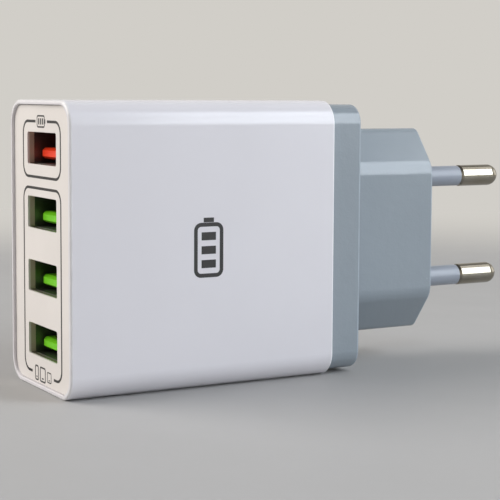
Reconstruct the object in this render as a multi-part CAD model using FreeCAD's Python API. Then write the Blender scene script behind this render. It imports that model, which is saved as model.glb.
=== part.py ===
import FreeCAD, Part
import math
import os

# Four-port wall charger with a two-pin plug, standing on one narrow side.
# Lengths are in millimetres. X runs from the port panel to the pin tips, Y across the housing, Z up.
# The origin lies on the floor, under the middle of the whole charger.
# The port row gives the housing its height and thickness.

# Port row, as the front panel shows it
port_count = 4
port_pitch = 10.6
port_opening_width = 12.5
port_opening_height = 5.3
port_opening_corner = 0.4
port_end_margin = 5.25
port_side_margin = 6.75

# Housing sleeve, an open-ended moulded tube
sleeve_length = 48.8
housing_corner_radius = 4.0
housing_wall = 2.0
rim_width = 0.75
sleeve_edge_chamfer = 0.3
guide_rib_height = 1.6
guide_rib_width = 1.2

# Front panel, seated in a rebate behind the rim
panel_recess = 0.5
panel_thickness = 1.2
panel_clearance = 0.08
panel_skirt_depth = 3.0
panel_skirt_wall = 1.0
shell_frame_depth = 1.5
shell_frame_wall = 0.8

# Rear cap: flange, welding lip and six-sided plug boss in one moulding
flange_depth = 5.9
flange_inset = 0.65
flange_wall = 2.0
flange_edge_chamfer = 0.4
weld_lip_depth = 1.8
weld_lip_wall = 0.9
weld_clearance = 0.06
boss_depth = 20.1
boss_thickness = 12.4
boss_side_half = 11.7
boss_ridge_half = 20.0
boss_side_round = 4.5
boss_ridge_round = 2.0
boss_face_chamfer = 0.4
boss_wall = 1.9

# Plug pins and their insulating collars
pin_spacing = 19.0
pin_diameter = 4.0
pin_length = 19.4
pin_shoulder_length = 0.55
pin_shoulder_drop = 0.3
pin_stem_diameter = 3.0
pin_root_width = 4.6
pin_root_length = 1.6
pin_root_cover = 1.8
pin_tail_length = 3.0
collar_diameter = 3.8
collar_length = 10.0
collar_seat_depth = 2.0

# USB receptacles behind the panel
receptacle_width = 12.5
receptacle_height = 5.12
shell_wall = 0.3
shell_fold_radius = 0.5
shell_length = 12.4
shell_tab_width = 2.2
shell_clearance = 0.1
insulator_depth = 3.6
insulator_clearance = 0.04
tongue_width = 11.1
tongue_thickness = 1.84
tongue_drop = 0.95
tongue_setback = 1.0
tongue_nose_length = 0.7
tongue_nose_height = 1.0
tongue_corner_cut = 0.5
contact_width = 1.0
contact_thickness = 0.25
contact_stand = 0.1
contact_inner_spread = 2.0
contact_outer_spread = 7.0
contact_setback = 0.9
data_contact_setback = 1.0

# Circuit boards and the square leads that pass through them
board_thickness = 1.6
board_clearance = 0.2
board_end_gap = 0.5
board_front_margin = 2.1
board_side_gap = 0.35
board_tab_width = 3.4
component_gap = 0.8
lead_width = 0.6
lead_clearance = 0.1
lead_overhang = 0.9
lead_root = 0.7

# Components on the main board
output_can_diameter = 6.3
output_can_height = 11.5
output_lead_pitch = 2.5
bulk_can_diameter = 8.0
bulk_can_height = 12.5
bulk_lead_pitch = 3.5
choke_diameter = 6.2
choke_height = 8.0
choke_hub_diameter = 2.8
choke_flange = 1.2
choke_winding_inset = 0.5
choke_lead_pitch = 3.0
rectifier_width = 6.6
rectifier_depth = 2.4
rectifier_height = 6.2
rectifier_stand = 1.6
rectifier_lead_pitch = 3.8
bridge_width = 8.2
bridge_depth = 5.6
bridge_height = 3.2
bridge_lead_pitch = 5.1
bridge_lead_rows = 3.8
fuse_width = 8.4
fuse_depth = 4.3
fuse_height = 7.7
fuse_lead_pitch = 5.1
disc_diameter = 7.4
disc_thickness = 3.0
disc_stand = 1.2
disc_lead_pitch = 4.0
opto_width = 6.5
opto_depth = 4.6
opto_height = 3.5
opto_lead_pitch = 4.6
opto_lead_rows = 2.54
package_chamfer = 0.4
chip_length = 4.9
chip_width = 3.9
chip_height = 1.5
chip_foot_reach = 1.05
chip_foot_width = 0.42
chip_foot_thickness = 0.22
chip_foot_pitch = 1.27
chip_feet_per_side = 4

# Transformer: two E cores around a wound bobbin
core_width = 10.6
core_half_length = 7.5
core_depth = 5.0
core_leg = 1.8
core_centre_leg = 3.4
bobbin_clearance = 0.1
bobbin_tube_wall = 0.5
bobbin_flange = 0.8
bobbin_flange_overlap = 0.5
winding_build = 1.1
rail_height = 1.0
rail_length = 2.6
rail_pins = 3

# Flat conductors from the pin tails to the main board
wire_width = 2.4
wire_thickness = 0.6
wire_bend_radius = 2.2
wire_end_margin = 1.6

# Sizes that follow from those above
port_row_height = (port_count - 1) * port_pitch + port_opening_height
housing_height = port_row_height + 2 * port_end_margin
housing_thickness = port_opening_width + 2 * port_side_margin
mid_height = housing_height / 2
lowest_port_height = port_end_margin + port_opening_height / 2
port_heights = [lowest_port_height + place * port_pitch for place in range(port_count)]
inner_height = housing_height - 2 * housing_wall
panel_back = panel_recess + panel_thickness
usb_board_front = panel_back + shell_length
usb_board_back = usb_board_front + board_thickness
shell_width = receptacle_width + 2 * shell_wall
shell_height = receptacle_height + 2 * shell_wall
insulator_front = usb_board_front - insulator_depth
tongue_tip = panel_back + tongue_setback
board_face = shell_width / 2 + board_side_gap
board_back = board_face + board_thickness
flange_cavity_depth = flange_depth - flange_wall
flange_cavity_end = sleeve_length + flange_cavity_depth
main_board_end = flange_cavity_end - board_end_gap
wire_hole_x = main_board_end - wire_end_margin
front_column = max(output_can_diameter, choke_diameter, rectifier_depth)
middle_column = max(core_width, bulk_can_diameter)
rear_column = max(fuse_depth, bridge_depth, opto_depth, disc_thickness)
front_x = usb_board_back + board_front_margin + front_column / 2
middle_x = front_x + (front_column + middle_column) / 2 + component_gap
rear_x = middle_x + (middle_column + rear_column) / 2 + component_gap
boss_root = sleeve_length + flange_depth
boss_face = boss_root + boss_depth
boss_end_wall = collar_seat_depth + pin_root_length + pin_root_cover
pin_tail_end = boss_face - boss_end_wall - pin_tail_length
overall_length = boss_face + pin_length
rib_start = usb_board_back + board_clearance
rib_end = sleeve_length - weld_lip_depth
smallest_corner = 0.2
tolerance = 0.001
ORIGIN = FreeCAD.Vector(0, 0, 0)
X_AXIS = FreeCAD.Vector(1, 0, 0)
Y_AXIS = FreeCAD.Vector(0, 1, 0)
Z_AXIS = FreeCAD.Vector(0, 0, 1)


def box_between(x_low, x_high, y_low, y_high, z_low, z_high):
    """Box given by its two limits along each axis."""
    corner = FreeCAD.Vector(x_low, y_low, z_low)
    return Part.makeBox(x_high - x_low, y_high - y_low, z_high - z_low, corner)


def plain_bar(x, length, width, height, centre_z):
    """Bar along X, centred across the charger at the height centre_z."""
    low_z = centre_z - height / 2
    return box_between(x, x + length, -width / 2, width / 2, low_z, low_z + height)


def long_edges(bar):
    """Edges of a bar that run along X."""
    return [edge for edge in bar.Edges if edge.BoundBox.XLength > tolerance]


def edges_at_x(shape, x):
    """Edges that lie wholly in the plane at x."""
    found = []
    for edge in shape.Edges:
        box = edge.BoundBox
        if abs(box.XMin - x) < tolerance and abs(box.XMax - x) < tolerance:
            found.append(edge)
    return found


def rounded_bar(x, length, width, height, radius, centre_z):
    """Bar along X with its four long edges rounded."""
    bar = plain_bar(x, length, width, height, centre_z)
    return bar.makeFillet(radius, long_edges(bar))


def housing_bar(x, length, inset):
    """Bar with the housing's outline, drawn in by the inset all round."""
    radius = max(housing_corner_radius - inset, smallest_corner)
    width = housing_thickness - 2 * inset
    height = housing_height - 2 * inset
    return rounded_bar(x, length, width, height, radius, mid_height)


def housing_sleeve():
    """White tube with a rebated mouth, a weld rebate at the rear and two pairs of board guides."""
    sleeve = housing_bar(0, sleeve_length, 0)
    ends = edges_at_x(sleeve, 0) + edges_at_x(sleeve, sleeve_length)
    sleeve = sleeve.makeChamfer(min(sleeve_edge_chamfer, rim_width / 2), ends)
    bore = housing_bar(0, sleeve_length, housing_wall)
    panel_seat = housing_bar(0, panel_back, rim_width)
    weld_rebate = housing_bar(rib_end, weld_lip_depth, housing_wall - weld_lip_wall - weld_clearance)
    sleeve = sleeve.cut([bore, panel_seat, weld_rebate])
    ribs = []
    groove_low = board_face - board_clearance
    groove_high = board_back + board_clearance
    half_wall = housing_wall / 2
    for rib_y in (groove_low - guide_rib_width, groove_high):
        for rib_low in (half_wall, housing_height - housing_wall - guide_rib_height):
            rib_high = rib_low + half_wall + guide_rib_height
            ribs.append(box_between(rib_start, rib_end, rib_y, rib_y + guide_rib_width, rib_low, rib_high))
    return sleeve.fuse(ribs).removeSplitter()


def panel_skirt():
    """Four straight walls behind the panel that line the sleeve between its corners."""
    half_width = housing_thickness / 2 - housing_wall - panel_clearance
    half_height = inner_height / 2 - panel_clearance
    straight_width = housing_thickness - 2 * housing_corner_radius
    straight_height = housing_height - 2 * housing_corner_radius
    wall_middle_y = half_width - panel_skirt_wall / 2
    wall_middle_z = half_height - panel_skirt_wall / 2
    walls = []
    for side in (-1, 1):
        upright = plain_bar(panel_back, panel_skirt_depth, panel_skirt_wall, straight_height, mid_height)
        upright.translate(Y_AXIS * (side * wall_middle_y))
        walls.append(upright)
        height = mid_height + side * wall_middle_z
        walls.append(plain_bar(panel_back, panel_skirt_depth, straight_width, panel_skirt_wall, height))
    return walls


def front_panel():
    """Panel with the port openings, a skirt that lines the sleeve and a frame round each receptacle."""
    panel = housing_bar(panel_recess, panel_thickness, rim_width + panel_clearance)
    panel = panel.fuse(panel_skirt())
    seat_width = shell_width + 2 * shell_clearance
    seat_height = shell_height + 2 * shell_clearance
    frame_width = seat_width + 2 * shell_frame_wall
    frame_height = seat_height + 2 * shell_frame_wall
    for height in port_heights:
        frame = plain_bar(panel_back, shell_frame_depth, frame_width, frame_height, height)
        seat = plain_bar(panel_back, shell_frame_depth, seat_width, seat_height, height)
        opening = rounded_bar(
            panel_recess,
            panel_thickness,
            port_opening_width,
            port_opening_height,
            port_opening_corner,
            height,
        )
        panel = panel.fuse(frame.cut(seat)).cut(opening)
    return panel.removeSplitter()


def boss_bar(x, length, inset):
    """Six-sided bar of the plug boss: two flat sides, four slopes and two ridges."""
    slope = (boss_ridge_half - boss_side_half) / (boss_thickness / 2)
    half_thickness = boss_thickness / 2 - inset
    ridge = boss_ridge_half - inset * math.hypot(1, slope)
    side = ridge - slope * half_thickness
    outline = [
        (0, ridge),
        (half_thickness, side),
        (half_thickness, -side),
        (0, -ridge),
        (-half_thickness, -side),
        (-half_thickness, side),
        (0, ridge),
    ]
    points = [FreeCAD.Vector(x, y, mid_height + z) for y, z in outline]
    return Part.Face(Part.makePolygon(points)).extrude(X_AXIS * length)


def plug_boss():
    """Solid boss with its long edges rounded and the edge of its end face broken."""
    boss = boss_bar(flange_cavity_end, boss_face - flange_cavity_end, 0)
    side_edges = [edge for edge in long_edges(boss) if abs(edge.CenterOfMass.y) > tolerance]
    boss = boss.makeFillet(boss_side_round, side_edges)
    ridge_edges = [edge for edge in long_edges(boss) if abs(edge.CenterOfMass.y) < tolerance]
    boss = boss.makeFillet(boss_ridge_round, ridge_edges)
    return boss.makeChamfer(boss_face_chamfer, edges_at_x(boss, boss_face))


def rear_cap(inserts):
    """Grey cap: hollow flange and boss with the pins and collars moulded into the end wall."""
    flange = housing_bar(sleeve_length, flange_depth, flange_inset)
    flange = flange.makeChamfer(flange_edge_chamfer, edges_at_x(flange, boss_root))
    lip_start = sleeve_length - weld_lip_depth + weld_clearance
    lip = housing_bar(lip_start, sleeve_length - lip_start, housing_wall - weld_lip_wall)
    cavity = housing_bar(lip_start, flange_cavity_end - lip_start, housing_wall)
    boss_cavity = boss_bar(sleeve_length, boss_face - boss_end_wall - sleeve_length, boss_wall)
    cap = flange.fuse([plug_boss(), lip]).removeSplitter()
    return cap.cut([cavity, boss_cavity] + inserts)


def plug_pin(centre_z):
    """Turned pin: round tip, full-diameter contact end, waisted stem and a square root that anchors it."""
    radius = pin_diameter / 2
    stem = pin_stem_diameter / 2
    shoulder = boss_face + collar_length
    tip = boss_face + pin_length
    outline = [
        (pin_tail_end, 0),
        (pin_tail_end, stem),
        (shoulder, stem),
        (shoulder, radius - pin_shoulder_drop),
        (shoulder + pin_shoulder_length, radius),
        (tip - radius, radius),
    ]
    points = [FreeCAD.Vector(x, y, 0) for x, y in outline]
    profile = [Part.makeLine(first, second) for first, second in zip(points, points[1:])]
    slant = radius * math.sqrt(0.5)
    crown = FreeCAD.Vector(tip - radius + slant, slant, 0)
    end = FreeCAD.Vector(tip, 0, 0)
    profile.append(Part.Arc(points[-1], crown, end).toShape())
    profile.append(Part.makeLine(end, points[0]))
    pin = Part.Face(Part.Wire(profile)).revolve(ORIGIN, X_AXIS, 360)
    pin.translate(Z_AXIS * centre_z)
    root_start = boss_face - collar_seat_depth - pin_root_length
    root = plain_bar(root_start, pin_root_length, pin_root_width, pin_root_width, centre_z)
    return pin.fuse(root)


def pin_collar(centre_z):
    """Insulating tube over the waisted stem, seated in the end wall of the boss."""
    base = FreeCAD.Vector(boss_face - collar_seat_depth, 0, centre_z)
    length = collar_seat_depth + collar_length
    tube = Part.makeCylinder(collar_diameter / 2, length, base, X_AXIS)
    return tube.cut(Part.makeCylinder(pin_stem_diameter / 2, length, base, X_AXIS))


def shell_tabs(height, grow):
    """The two solder tabs of a receptacle shell, grown all round for the slots that take them."""
    tabs = []
    for side in (-1, 1):
        outside = side * shell_width / 2
        inside = side * (shell_width / 2 - shell_wall)
        low_y = min(inside, outside) - grow
        high_y = max(inside, outside) + grow
        half = shell_tab_width / 2 + grow
        end = usb_board_back + lead_overhang
        tabs.append(box_between(usb_board_front, end, low_y, high_y, height - half, height + half))
    return tabs


def usb_shell(height):
    """Folded steel tube of one receptacle, with its two solder tabs."""
    outside = rounded_bar(panel_back, shell_length, shell_width, shell_height, shell_fold_radius, height)
    inside = plain_bar(panel_back, shell_length, receptacle_width, receptacle_height, height)
    return outside.cut(inside).fuse(shell_tabs(height, 0)).removeSplitter()


def contact_strips(height, grow):
    """Four flat contacts of one receptacle, grown all round for the board slots that take them."""
    top = height - tongue_drop + tongue_thickness / 2 + contact_stand
    end = usb_board_back + lead_overhang
    strips = []
    for spread, extra in ((contact_inner_spread, data_contact_setback), (contact_outer_spread, 0)):
        start = tongue_tip + tongue_nose_length + contact_setback + extra
        for side in (-1, 1):
            middle = side * spread / 2
            low_y = middle - contact_width / 2 - grow
            high_y = middle + contact_width / 2 + grow
            low_z = top - contact_thickness - grow
            strips.append(box_between(start, end, low_y, high_y, low_z, top + grow))
    return strips


def usb_tongue(height):
    """Coloured insulator: a block in the back of the shell and the tongue that carries the contacts."""
    middle = height - tongue_drop
    half = tongue_thickness / 2
    nose = tongue_nose_height / 2
    nose_end = tongue_tip + tongue_nose_length
    outline = [
        (insulator_front, half),
        (nose_end, half),
        (tongue_tip, nose),
        (tongue_tip, -nose),
        (nose_end, -half),
        (insulator_front, -half),
        (insulator_front, half),
    ]
    points = [FreeCAD.Vector(x, -tongue_width / 2, middle + z) for x, z in outline]
    tongue = Part.Face(Part.makePolygon(points)).extrude(Y_AXIS * tongue_width)
    for side in (-1, 1):
        corner = FreeCAD.Vector(tongue_tip, side * tongue_width / 2, middle - half)
        back = corner + X_AXIS * tongue_corner_cut
        inner = corner - Y_AXIS * (side * tongue_corner_cut)
        wedge = Part.Face(Part.makePolygon([corner, back, inner, corner]))
        tongue = tongue.cut(wedge.extrude(Z_AXIS * tongue_thickness))
    block_width = receptacle_width - 2 * insulator_clearance
    block_height = receptacle_height - 2 * insulator_clearance
    block = plain_bar(insulator_front, insulator_depth, block_width, block_height, height)
    return block.fuse(tongue).removeSplitter().cut(contact_strips(height, 0))


def usb_contacts(height):
    """The contact set of one receptacle: four separate strips."""
    return Part.makeCompound(contact_strips(height, 0))


def board_tabs(grow):
    """Tabs on the main board's front edge, between the outer pairs of ports, grown for their slots."""
    tabs = []
    for first in (0, port_count - 2):
        middle = (port_heights[first] + port_heights[first + 1]) / 2
        low_y = board_face - grow
        high_y = board_back + grow
        low_z = middle - board_tab_width / 2 - grow
        high_z = middle + board_tab_width / 2 + grow
        tabs.append(box_between(usb_board_front, usb_board_back, low_y, high_y, low_z, high_z))
    return tabs


def usb_board():
    """Upright board that carries the receptacles and takes the main board's tabs."""
    inset = housing_wall + board_clearance
    width = housing_thickness - 2 * inset
    height = housing_height - 2 * inset
    board = plain_bar(usb_board_front, board_thickness, width, height, mid_height)
    corner_cut = max(housing_corner_radius - housing_wall, smallest_corner)
    board = board.makeChamfer(corner_cut, long_edges(board))
    slots = board_tabs(lead_clearance)
    for height in port_heights:
        slots += contact_strips(height, lead_clearance)
        slots += shell_tabs(height, lead_clearance)
    return board.cut(slots)


# Components are built standing on the plane z = 0, with X along the board and Y up the board


def square_post(x, y, half, low, high):
    """Upright square post about the point x, y."""
    return box_between(x - half, x + half, y - half, y + half, low, high)


def with_leads(body, spots, reach):
    """Component with square leads that run from the height reach down through the board."""
    end = -board_thickness - lead_overhang
    leads = [square_post(x, y, lead_width / 2, end, reach) for x, y in spots]
    return body.fuse(leads).removeSplitter()


def turned_upright(outline):
    """Solid turned about the upright axis from its outline of radius and height."""
    points = [FreeCAD.Vector(radius, 0, height) for radius, height in outline]
    face = Part.Face(Part.makePolygon(points + points[:1]))
    return face.revolve(ORIGIN, Z_AXIS, 360)


def lead_pair(pitch):
    """Two leads one above the other."""
    return [(0, -pitch / 2), (0, pitch / 2)]


def lead_grid(rows, pitch):
    """Four leads at the corners of a rectangle."""
    return [(x * rows / 2, y * pitch / 2) for x in (-1, 1) for y in (-1, 1)]


def drum_core():
    """Ferrite drum with a flange at each end of its hub."""
    radius = choke_diameter / 2
    hub = choke_hub_diameter / 2
    outline = [
        (0, 0),
        (radius, 0),
        (radius, choke_flange),
        (hub, choke_flange),
        (hub, choke_height - choke_flange),
        (radius, choke_height - choke_flange),
        (radius, choke_height),
        (0, choke_height),
    ]
    return turned_upright(outline)


def drum_winding():
    """Copper winding that fills the drum between its flanges."""
    hub = choke_hub_diameter / 2
    outside = choke_diameter / 2 - choke_winding_inset
    outline = [
        (hub, choke_flange),
        (outside, choke_flange),
        (outside, choke_height - choke_flange),
        (hub, choke_height - choke_flange),
    ]
    return turned_upright(outline)


def moulded_package(depth, width, height, stand):
    """Moulded component body with its top edges chamfered, standing off the board by the height stand."""
    body = Part.makeBox(depth, width, height, FreeCAD.Vector(-depth / 2, -width / 2, stand))
    top_edges = [edge for edge in body.Edges if edge.BoundBox.ZMin > stand + height - tolerance]
    return body.makeChamfer(package_chamfer, top_edges)


def ceramic_disc():
    """Disc on edge, held off the board by its leads."""
    base = FreeCAD.Vector(-disc_thickness / 2, 0, disc_stand + disc_diameter / 2)
    return Part.makeCylinder(disc_diameter / 2, disc_thickness, base, X_AXIS)


def small_chip():
    """Flat eight-foot chip, seated on its feet."""
    feet = []
    reach = chip_width / 2 + chip_foot_reach
    for place in range(chip_feet_per_side):
        along = (place - (chip_feet_per_side - 1) / 2) * chip_foot_pitch
        corner = FreeCAD.Vector(-reach, along - chip_foot_width / 2, 0)
        feet.append(Part.makeBox(2 * reach, chip_foot_width, chip_foot_thickness, corner))
    return moulded_package(chip_width, chip_length, chip_height, 0).fuse(feet).removeSplitter()


# The transformer's core lies with its long way up the board
window_width = (core_width - 2 * core_leg - core_centre_leg) / 2
window_half = core_half_length - core_leg
tube_half_width = core_centre_leg / 2 + bobbin_clearance + bobbin_tube_wall
tube_half_depth = core_depth / 2 + bobbin_clearance + bobbin_tube_wall
flange_half_width = core_centre_leg / 2 + window_width - bobbin_clearance
flange_half_depth = tube_half_depth + winding_build + bobbin_flange_overlap
bobbin_half = window_half - bobbin_clearance
core_centre = rail_height + flange_half_depth
winding_half_width = min(tube_half_width + winding_build, flange_half_width)


def layer_block(half_width, low_y, high_y, half_depth):
    """Block about the level of the core's middle, centred along the board."""
    low_z = core_centre - half_depth
    high_z = core_centre + half_depth
    return box_between(-half_width, half_width, low_y, high_y, low_z, high_z)


def transformer_core_half(side):
    """One E core: back, two outer legs and the centre leg that enters the bobbin."""
    low_y, high_y = sorted((0, side * core_half_length))
    core = layer_block(core_width / 2, low_y, high_y, core_depth / 2)
    low_y, high_y = sorted((0, side * window_half))
    centre_leg = layer_block(core_centre_leg / 2, low_y, high_y, core_depth / 2)
    windows = layer_block(core_centre_leg / 2 + window_width, low_y, high_y, core_depth / 2)
    return core.cut(windows.cut(centre_leg))


def rail_spots():
    """Places of the transformer's pins, along both rails."""
    spots = []
    pitch = 2 * flange_half_width / rail_pins
    for side in (-1, 1):
        for place in range(rail_pins):
            x = (place - (rail_pins - 1) / 2) * pitch
            spots.append((x, side * (bobbin_half - bobbin_flange / 2)))
    return spots


def transformer_bobbin():
    """Moulded bobbin: square tube, two flanges and a pin rail under each flange."""
    tube = layer_block(tube_half_width, -bobbin_half, bobbin_half, tube_half_depth)
    pieces = []
    for side in (-1, 1):
        low_y, high_y = sorted((side * bobbin_half, side * (bobbin_half - bobbin_flange)))
        pieces.append(layer_block(flange_half_width, low_y, high_y, flange_half_depth))
        low_y, high_y = sorted((side * bobbin_half, side * (bobbin_half - rail_length)))
        pieces.append(box_between(-flange_half_width, flange_half_width, low_y, high_y, 0, rail_height))
    bore_half = core_centre_leg / 2 + bobbin_clearance
    bore = layer_block(bore_half, -bobbin_half, bobbin_half, core_depth / 2 + bobbin_clearance)
    return tube.fuse(pieces).removeSplitter().cut(bore)


def transformer_winding():
    """Taped winding that fills the bobbin between its flanges."""
    half = bobbin_half - bobbin_flange
    block = layer_block(winding_half_width, -half, half, tube_half_depth + winding_build)
    return block.cut(layer_block(tube_half_width, -half, half, tube_half_depth))


def column_places(widths):
    """Heights of the components in one column, spread over the board with equal gaps."""
    gap = (inner_height - sum(widths)) / (len(widths) + 1)
    places = []
    reached = housing_wall
    for width in widths:
        places.append(reached + gap + width / 2)
        reached += gap + width
    return places


def on_main_board(shape, x, z):
    """Component moved to its place on the main board, standing away from the component face."""
    placed = shape.copy()
    placed.rotate(ORIGIN, X_AXIS, 90)
    placed.translate(FreeCAD.Vector(x, board_face, z))
    return placed


def main_board_parts():
    """Every component of the main board: name, body, lead spots, lead reach and place."""
    front = column_places([output_can_diameter, rectifier_width, choke_diameter, output_can_diameter])
    middle = column_places([bulk_can_diameter, 2 * core_half_length, bulk_can_diameter])
    rear = column_places([fuse_width, bridge_width, disc_diameter, opto_width])
    output_can = Part.makeCylinder(output_can_diameter / 2, output_can_height)
    output_leads = lead_pair(output_lead_pitch)
    bulk_can = Part.makeCylinder(bulk_can_diameter / 2, bulk_can_height)
    bulk_leads = lead_pair(bulk_lead_pitch)
    choke_leads = lead_pair(choke_lead_pitch)
    rectifier = moulded_package(rectifier_depth, rectifier_width, rectifier_height, rectifier_stand)
    rectifier_leads = lead_pair(rectifier_lead_pitch)
    rectifier_reach = rectifier_stand + lead_root
    bridge = moulded_package(bridge_depth, bridge_width, bridge_height, 0)
    bridge_leads = lead_grid(bridge_lead_rows, bridge_lead_pitch)
    fuse = moulded_package(fuse_depth, fuse_width, fuse_height, 0)
    fuse_leads = lead_pair(fuse_lead_pitch)
    disc_leads = lead_pair(disc_lead_pitch)
    disc_reach = disc_stand + disc_diameter / 2
    opto = moulded_package(opto_depth, opto_width, opto_height, 0)
    opto_leads = lead_grid(opto_lead_rows, opto_lead_pitch)
    return [
        ("output_capacitor_lower", output_can, output_leads, lead_root, front_x, front[0]),
        ("output_rectifier", rectifier, rectifier_leads, rectifier_reach, front_x, front[1]),
        ("filter_choke_core", drum_core(), choke_leads, lead_root, front_x, front[2]),
        ("filter_choke_winding", drum_winding(), [], 0, front_x, front[2]),
        ("output_capacitor_upper", output_can, output_leads, lead_root, front_x, front[3]),
        ("bulk_capacitor_lower", bulk_can, bulk_leads, lead_root, middle_x, middle[0]),
        ("transformer_core_lower", transformer_core_half(-1), [], 0, middle_x, middle[1]),
        ("transformer_core_upper", transformer_core_half(1), [], 0, middle_x, middle[1]),
        ("transformer_bobbin", transformer_bobbin(), rail_spots(), lead_root, middle_x, middle[1]),
        ("transformer_winding", transformer_winding(), [], 0, middle_x, middle[1]),
        ("bulk_capacitor_upper", bulk_can, bulk_leads, lead_root, middle_x, middle[2]),
        ("inlet_fuse", fuse, fuse_leads, lead_root, rear_x, rear[0]),
        ("bridge_rectifier", bridge, bridge_leads, lead_root, rear_x, rear[1]),
        ("safety_capacitor", ceramic_disc(), disc_leads, disc_reach, rear_x, rear[2]),
        ("optocoupler", opto, opto_leads, lead_root, rear_x, rear[3]),
    ]


def pin_wire(centre_z):
    """Flat conductor from a pin's tail along the boss, bent down through the main board."""
    bend = FreeCAD.Vector(wire_hole_x, 0, centre_z)
    start = FreeCAD.Vector(pin_tail_end, 0, centre_z)
    arc_start = bend + X_AXIS * wire_bend_radius
    arc_end = bend + Y_AXIS * wire_bend_radius
    slack = wire_bend_radius * (1 - math.sqrt(0.5))
    arc_middle = bend + FreeCAD.Vector(slack, slack, 0)
    end = FreeCAD.Vector(wire_hole_x, board_back + lead_overhang, centre_z)
    path = Part.Wire([
        Part.makeLine(start, arc_start),
        Part.Arc(arc_start, arc_middle, arc_end).toShape(),
        Part.makeLine(arc_end, end),
    ])
    across = Y_AXIS * (wire_thickness / 2)
    up = Z_AXIS * (wire_width / 2)
    corners = [start - across - up, start + across - up, start + across + up, start - across + up]
    section = Part.makePolygon(corners + corners[:1])
    return path.makePipeShell([section], True, False)


def main_board(parts, wire_heights):
    """Main board between the guide ribs, tabbed into the USB board and pierced for every lead."""
    low_z = housing_wall + board_clearance
    high_z = housing_height - housing_wall - board_clearance
    board = box_between(usb_board_back, main_board_end, board_face, board_back, low_z, high_z)
    board = board.fuse(board_tabs(0)).removeSplitter()
    holes = []
    half = lead_width / 2 + lead_clearance
    for _, _, spots, _, x, z in parts:
        for along, up in spots:
            corner = FreeCAD.Vector(x + along - half, board_face, z + up - half)
            holes.append(Part.makeBox(2 * half, board_thickness, 2 * half, corner))
    low_x = wire_hole_x - wire_thickness / 2 - lead_clearance
    high_x = wire_hole_x + wire_thickness / 2 + lead_clearance
    for height in wire_heights:
        low_z = height - wire_width / 2 - lead_clearance
        high_z = height + wire_width / 2 + lead_clearance
        holes.append(box_between(low_x, high_x, board_face, board_back, low_z, high_z))
    return board.cut(holes)


def switching_controller():
    """Chip on the back of the main board, behind the transformer."""
    chip = small_chip()
    chip.rotate(ORIGIN, X_AXIS, -90)
    chip.translate(FreeCAD.Vector(middle_x, board_back, mid_height))
    return chip


def port_controller():
    """Chip on the back of the USB board, between the two middle ports."""
    chip = small_chip()
    chip.rotate(ORIGIN, Y_AXIS, 90)
    chip.translate(FreeCAD.Vector(usb_board_back, 0, mid_height))
    return chip


def all_nodes():
    """Every piece of the charger by name."""
    pin_heights = {"lower": mid_height - pin_spacing / 2, "upper": mid_height + pin_spacing / 2}
    nodes = {"housing_sleeve": housing_sleeve(), "front_panel": front_panel()}
    inserts = []
    for place, height in pin_heights.items():
        nodes[f"plug_pin_{place}"] = plug_pin(height)
        nodes[f"pin_collar_{place}"] = pin_collar(height)
        nodes[f"pin_wire_{place}"] = pin_wire(height)
        inserts += [nodes[f"plug_pin_{place}"], nodes[f"pin_collar_{place}"]]
    nodes["rear_cap"] = rear_cap(inserts)
    for number, height in enumerate(reversed(port_heights), start=1):
        nodes[f"usb_shell_{number}"] = usb_shell(height)
        nodes[f"usb_tongue_{number}"] = usb_tongue(height)
        nodes[f"usb_contacts_{number}"] = usb_contacts(height)
    parts = main_board_parts()
    nodes["usb_board"] = usb_board()
    nodes["port_controller"] = port_controller()
    nodes["main_board"] = main_board(parts, pin_heights.values())
    nodes["switching_controller"] = switching_controller()
    for name, body, spots, reach, x, z in parts:
        shape = with_leads(body, spots, reach) if spots else body
        nodes[name] = on_main_board(shape, x, z)
    return nodes


os.makedirs("parts", exist_ok=True)
to_origin = FreeCAD.Vector(-overall_length / 2, 0, 0)
for name, shape in all_nodes().items():
    shape.translate(to_origin)
    shape.exportStep(f"parts/{name}.step")
print(f"overall {overall_length:.2f} x {housing_thickness:.2f} x {housing_height:.2f}")
print(f"sleeve length {sleeve_length:.2f}, boss face {boss_face:.2f}")
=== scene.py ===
import math

import bpy
import numpy as np
from bpy.props import FloatProperty, FloatVectorProperty, PointerProperty
from mathutils import Matrix, Vector


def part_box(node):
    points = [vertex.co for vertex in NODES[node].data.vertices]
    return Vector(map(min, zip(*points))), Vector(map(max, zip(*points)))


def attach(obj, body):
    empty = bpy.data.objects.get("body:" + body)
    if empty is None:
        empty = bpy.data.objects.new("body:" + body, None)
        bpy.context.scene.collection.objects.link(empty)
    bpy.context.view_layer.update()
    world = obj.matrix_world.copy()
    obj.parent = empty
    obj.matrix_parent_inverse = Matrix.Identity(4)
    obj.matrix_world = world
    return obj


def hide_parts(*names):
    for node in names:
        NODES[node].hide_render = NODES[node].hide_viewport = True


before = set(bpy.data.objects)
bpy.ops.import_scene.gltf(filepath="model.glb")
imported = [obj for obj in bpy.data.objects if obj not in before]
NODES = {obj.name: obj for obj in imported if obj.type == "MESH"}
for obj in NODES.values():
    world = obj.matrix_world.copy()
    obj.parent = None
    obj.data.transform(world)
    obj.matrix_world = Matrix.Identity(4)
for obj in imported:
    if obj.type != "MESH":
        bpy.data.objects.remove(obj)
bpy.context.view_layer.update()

bl_info = {
    "name": "Wall charger looks",
    "version": (1, 0, 0),
    "blender": (4, 5, 0),
    "location": "View3D > Sidebar > Charger",
    "description": "Dresses the packed wall charger with moulded shells, print and finishes",
    "category": "Object",
}

# Units in metres
MM = 0.001
MICRON = 0.001 * MM

# Places taken from the frame
BODY = "root"
SLEEVE_LOW, SLEEVE_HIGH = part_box("housing_sleeve")
CAP_LOW, CAP_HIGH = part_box("rear_cap")
PANEL_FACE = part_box("front_panel")[0].x
AXIS_HEIGHT = 0.5 * (SLEEVE_LOW.z + SLEEVE_HIGH.z)

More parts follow.
